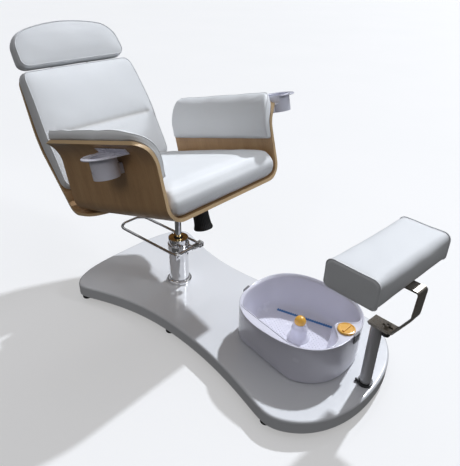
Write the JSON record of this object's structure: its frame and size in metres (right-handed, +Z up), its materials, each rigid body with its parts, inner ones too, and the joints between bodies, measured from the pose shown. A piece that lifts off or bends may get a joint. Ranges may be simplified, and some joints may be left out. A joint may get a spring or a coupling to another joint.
{
  "type": "pedicure spa chair",
  "caption": "Lounge chair of bent plywood with white cushions on a hydraulic pump, over a waisted platform with a lift-out foot basin and a padded footrest on a post.",
  "frame": {"origin": "on the floor under the pump's vertical axis", "axes": "+Z up; the sitter faces -Y and the footrest lies at -Y; +X is to the left of the sitter"},
  "size_m": [0.886, 1.7813, 1.0942],
  "materials": {
    "platform_white": "gloss white moulded plastic",
    "board": "raw plywood",
    "rubber": "matt black rubber",
    "chrome": "polished chrome",
    "steel": "zinc-plated steel",
    "brass": "polished",
    "nickel": "satin nickel",
    "grey_paint": "satin grey paint",
    "black_paint": "satin black paint",
    "black_plastic": "matt black plastic",
    "walnut": "walnut veneer on bent plywood, clear satin lacquer",
    "leather": "smooth white upholstery leather",
    "tub_white": "gloss white plastic with a lilac tint",
    "tub_grey": "matt grey plastic",
    "yellow": "gloss yellow-orange plastic",
    "blue": "matt blue plastic",
    "cup_white": "gloss white plastic"
  },
  "bodies": {
    "base": {"platform_cover": "platform_white", "base_board": "board", "rubber_feet": "rubber", "centre_foot": "rubber", "pump_cylinder": "chrome", "pump_core": "steel", "top_gland": "brass", "rod_seal": "rubber", "flange_bolts": "steel", "trim_ring": "chrome", "lever_bracket": "chrome", "post_collar": "black_plastic"},
    "lever": {"lever_yoke": "chrome", "lever_loop": "chrome", "lever_spring": "steel", "yoke_bolts": "steel"},
    "lift": {"piston_rod": "chrome", "thrust_washer": "brass"},
    "swivel": {"column_socket": "black_paint"},
    "seat": {"tilt_case": "black_paint", "tilt_pin": "steel", "tension_bolt": "steel", "tension_spring": "steel", "seat_shell": "walnut", "back_shell": "walnut", "seat_screws": "steel", "seat_cushion": "leather", "back_cushion": "leather", "arm_pad_left": "leather", "arm_pad_right": "leather", "headrest_guides": "black_plastic", "cup_holder_left": "cup_white", "cup_holder_right": "cup_white", "cup_screws": "steel"},
    "knob": {"tension_knob": "black_plastic"},
    "headrest": {"headrest_posts": "chrome", "headrest_plate": "walnut", "headrest_cushion": "leather"},
    "tub": {"tub_shell": "tub_white", "tub_basin": "tub_white", "tub_feet": "rubber", "tub_latches": "tub_grey", "massage_post": "tub_white", "bubble_strip": "blue"},
    "cap": {"tub_cap": "yellow"},
    "ball": {"massage_ball": "yellow"},
    "screw": {"set_screw": "black_plastic"},
    "post": {"post_tube": "grey_paint", "post_head": "nickel", "clamp_nut": "nickel"},
    "clamp": {"clamp_knob": "black_plastic"},
    "footrest": {"footrest_bracket": "nickel", "footrest_screws": "steel", "footrest_board": "board", "footrest_cushion": "leather"}
  },
  "joints": [
    {"name": "lever_press", "type": "hinge", "parent": "base", "child": "lever", "pos_m": [0, -0.06, 0.256], "axis": [-1, 0, 0], "range_deg": [0, 12], "stiffness_Nm_per_rad": 9, "springref_deg": -20.05},
    {"name": "seat_lift", "type": "slide", "parent": "base", "child": "lift", "axis": [0, 0, 1], "range_m": [-0.06, 0.08]},
    {"name": "seat_swivel", "type": "hinge", "parent": "lift", "child": "swivel", "pos_m": [0, 0, 0.411], "axis": [0, 0, 1], "continuous": true},
    {"name": "seat_tilt", "type": "hinge", "parent": "swivel", "child": "seat", "pos_m": [0, -0.01165, 0.46453], "axis": [-1, 0, 0], "range_deg": [0, 10], "stiffness_Nm_per_rad": 500, "springref_deg": -22.92, "deforming": ["tension_spring"]},
    {"name": "tension_turn", "type": "hinge", "parent": "seat", "child": "knob", "pos_m": [0, -0.13793, 0.44143], "axis": [0, 0.2588, 0.9659], "continuous": true},
    {"name": "headrest_slide", "type": "slide", "parent": "seat", "child": "headrest", "axis": [0, 0.4802, 0.8771], "range_m": [0, 0.06]},
    {"name": "tub_lift", "type": "slide", "parent": "base", "child": "tub", "axis": [0, 0, 1], "range_m": [0, 0.06]},
    {"name": "cap_lift", "type": "slide", "parent": "tub", "child": "cap", "axis": [0, 0, 1], "range_m": [0, 0.03]},
    {"name": "ball_spin", "type": "hinge", "parent": "tub", "child": "ball", "pos_m": [0.02699, -0.62439, 0.168], "axis": [0, 0, 1], "continuous": true},
    {"name": "footrest_swivel", "type": "hinge", "parent": "base", "child": "post", "pos_m": [0, -0.92, 0.2], "axis": [0, 0, 1], "continuous": true},
    {"name": "footrest_slide", "type": "slide", "parent": "post", "child": "footrest", "axis": [-0.1045, -0.9945, 0], "range_m": [-0.014, 0.014]},
    {"name": "set_screw_turn", "type": "hinge", "parent": "base", "child": "screw", "pos_m": [0, -0.92, 0.0845], "axis": [-0.4226, 0.9063, 0], "continuous": true},
    {"name": "clamp_turn", "type": "hinge", "parent": "post", "child": "clamp", "pos_m": [-0.00355, -0.95381, 0.33], "axis": [0, 0, 1], "continuous": true}
  ]
}
